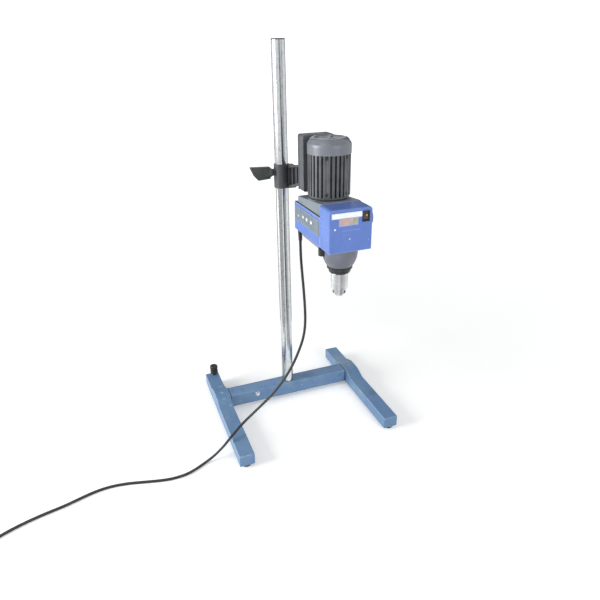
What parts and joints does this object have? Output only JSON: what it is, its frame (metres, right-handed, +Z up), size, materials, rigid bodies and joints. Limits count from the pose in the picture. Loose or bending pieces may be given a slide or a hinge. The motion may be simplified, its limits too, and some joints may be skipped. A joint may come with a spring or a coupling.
{
  "type": "overhead stirrer",
  "caption": "Overhead laboratory stirrer: geared motor head with a chuck, clamped to a chromed column on an H-shaped floor stand.",
  "frame": {"origin": "on the floor, at the middle of the object's box in plan (the cord, its coil and plug left out)", "axes": "+Z up along the column, +X along the crossbar to the right of someone facing the controls, -Y towards that person"},
  "size_m": [1.144, 0.5779, 1.01],
  "materials": {
    "stand_paint": "worn steel-blue paint",
    "bare_steel": "plain machined steel",
    "column_chrome": "polished chrome plate",
    "black_rubber": "matt black rubber",
    "black_plastic": "satin black plastic",
    "cast_grey": "dark grey crinkle paint",
    "cover_grey": "mid grey moulded plastic",
    "deck_grey": "grey enamel",
    "housing_blue": "satin blue enamel",
    "title_white": "glossy white foil",
    "display_red": "smoked red window",
    "plate_olive": "printed grey foil",
    "chuck_steel": "bright turned steel",
    "alloy": "cast aluminium",
    "lamination": "varnished laminations",
    "cord_black": "black cable sheath"
  },
  "bodies": {
    "stand": {"left_leg": "stand_paint", "right_leg": "stand_paint", "crossbar": "stand_paint", "crossbar_end_blocks": "bare_steel", "leg_screws": "bare_steel", "rubber_feet": "black_rubber", "earth_bolt": "bare_steel", "column_tube": "column_chrome", "column_cap": "black_plastic", "cord_run": "cord_black", "cord_coil": "cord_black", "mains_plug": "cord_black"},
    "levelling_foot": {"levelling_pad": "black_rubber"},
    "levelling_knob": {"levelling_screw": "black_plastic"},
    "clamp_carrier": {"clamp_liner": "black_plastic"},
    "head": {"clamp_arm": "cast_grey", "arm_bolts": "bare_steel", "motor_box": "cast_grey", "run_capacitor": "alloy", "motor_frame": "cast_grey", "tie_bolts": "bare_steel", "motor_end_shield": "alloy", "motor_bearings": "bare_steel", "stator": "lamination", "fan_cover": "cover_grey", "gearbox_deck": "deck_grey", "rear_cover": "housing_blue", "front_cover": "housing_blue", "title_strip": "title_white", "display_window": "display_red", "side_plate": "plate_olive", "switch_frame": "black_plastic", "base_tray": "deck_grey", "bearing_bridge": "alloy", "spindle_bearings": "bare_steel", "neck_bell": "cover_grey", "neck_collar": "black_plastic", "cord_gland": "black_plastic"},
    "pressure_pad": {"clamp_pad": "black_plastic"},
    "clamp_handle": {"clamp_screw": "black_plastic"},
    "rotor": {"motor_rotor": "bare_steel", "cooling_fan": "black_plastic", "drive_roller": "black_rubber"},
    "layshaft_set": {"layshaft": "bare_steel", "friction_wheel": "bare_steel"},
    "spindle": {"output_spindle": "bare_steel", "low_gear": "bare_steel", "chuck_body": "chuck_steel"},
    "high_wheel": {"high_gear": "bare_steel"},
    "clutch": {"range_clutch": "bare_steel"},
    "fork": {"shift_fork": "bare_steel"},
    "selector": {"range_selector": "black_plastic"},
    "speed_control": {"speed_knob": "housing_blue", "speed_shaft": "bare_steel"},
    "rack": {"speed_rack": "alloy"},
    "rocker": {"power_rocker": "black_plastic"},
    "sleeve": {"chuck_sleeve": "chuck_steel"},
    "jaw_1": {"chuck_jaw_1": "chuck_steel"},
    "jaw_2": {"chuck_jaw_2": "chuck_steel"},
    "jaw_3": {"chuck_jaw_3": "chuck_steel"}
  },
  "joints": [
    {"name": "head_height", "type": "slide", "parent": "stand", "child": "clamp_carrier", "axis": [0, 0, 1], "range_m": [-0.4, 0.28], "deforming": ["cord_run"]},
    {"name": "head_swivel", "type": "hinge", "parent": "clamp_carrier", "child": "head", "pos_m": [0, 0.11725, 0.686], "axis": [0, 0, 1], "range_deg": [-40, 40], "deforming": ["cord_run"]},
    {"name": "clamp_travel", "type": "slide", "parent": "head", "child": "pressure_pad", "axis": [-1, 0, 0], "range_m": [0, 0.0015]},
    {"name": "clamp_turn", "type": "hinge", "parent": "pressure_pad", "child": "clamp_handle", "pos_m": [-0.03, 0.11725, 0.696], "axis": [-1, 0, 0], "range_deg": [0, 360]},
    {"name": "levelling_travel", "type": "slide", "parent": "stand", "child": "levelling_foot", "axis": [0, 0, 1], "range_m": [-0.006, 0.0015]},
    {"name": "levelling_turn", "type": "hinge", "parent": "levelling_foot", "child": "levelling_knob", "pos_m": [-0.204, 0.24705, 0.04], "axis": [0, 0, 1], "range_deg": [-1440, 360]},
    {"name": "rotor_spin", "type": "hinge", "parent": "head", "child": "rotor", "pos_m": [0.022, -0.14075, 0.74], "axis": [0, 0, 1], "continuous": true},
    {"name": "layshaft_spin", "type": "hinge", "parent": "head", "child": "layshaft_set", "pos_m": [0.04, -0.16747, 0.62], "axis": [0, 0, 1], "continuous": true},
    {"name": "spindle_spin", "type": "hinge", "parent": "head", "child": "spindle", "pos_m": [0.022, -0.20375, 0.56], "axis": [0, 0, 1], "continuous": true},
    {"name": "high_wheel_spin", "type": "hinge", "parent": "head", "child": "high_wheel", "pos_m": [0.022, -0.20375, 0.625], "axis": [0, 0, 1], "continuous": true},
    {"name": "range_turn", "type": "hinge", "parent": "head", "child": "selector", "pos_m": [-0.0195, -0.19975, 0.582], "axis": [0, 0, 1], "range_deg": [0, 90]},
    {"name": "fork_lift", "type": "slide", "parent": "head", "child": "fork", "axis": [0, 0, 1], "range_m": [0, 0.0049]},
    {"name": "clutch_lift", "type": "slide", "parent": "spindle", "child": "clutch", "axis": [0, 0, 1], "range_m": [0, 0.0049]},
    {"name": "speed_turn", "type": "hinge", "parent": "head", "child": "speed_control", "pos_m": [0.072, -0.21975, 0.657], "axis": [1, 0, 0], "range_deg": [-100, 100]},
    {"name": "rack_shift", "type": "slide", "parent": "head", "child": "rack", "axis": [0, 1, 0], "range_m": [-0.01047, 0.01047]},
    {"name": "power_switch", "type": "hinge", "parent": "head", "child": "rocker", "pos_m": [0.0557, -0.25075, 0.6698], "axis": [1, 0, 0], "range_deg": [0, 14]},
    {"name": "sleeve_turn", "type": "hinge", "parent": "spindle", "child": "sleeve", "pos_m": [0.022, -0.20375, 0.51], "axis": [0, 0, 1], "range_deg": [0, 1080]},
    {"name": "jaw_1_feed", "type": "slide", "parent": "spindle", "child": "jaw_1", "axis": [-0.1879, -0.0331, -0.9816], "range_m": [0, 0.012]},
    {"name": "jaw_2_feed", "type": "slide", "parent": "spindle", "child": "jaw_2", "axis": [0.1226, -0.1462, -0.9816], "range_m": [0, 0.012]},
    {"name": "jaw_3_feed", "type": "slide", "parent": "spindle", "child": "jaw_3", "axis": [0.0653, 0.1793, -0.9816], "range_m": [0, 0.012]}
  ],
  "couplings": [
    {"joint": "clamp_turn", "follows": "clamp_travel", "rad_per_m": 4188.7},
    {"joint": "levelling_turn", "follows": "levelling_travel", "rad_per_m": 4188.7},
    {"joint": "layshaft_spin", "follows": "rotor_spin", "ratio": -0.59586},
    {"joint": "spindle_spin", "follows": "rotor_spin", "ratio": 0.25089},
    {"joint": "high_wheel_spin", "follows": "rotor_spin", "ratio": 0.74483},
    {"joint": "range_turn", "follows": "fork_lift", "rad_per_m": 320.5},
    {"joint": "clutch_lift", "follows": "fork_lift", "ratio": 1},
    {"joint": "speed_turn", "follows": "rack_shift", "rad_per_m": 166.67},
    {"joint": "sleeve_turn", "follows": "jaw_1_feed", "rad_per_m": 1570.7},
    {"joint": "jaw_2_feed", "follows": "jaw_1_feed", "ratio": 1},
    {"joint": "jaw_3_feed", "follows": "jaw_1_feed", "ratio": 1}
  ]
}
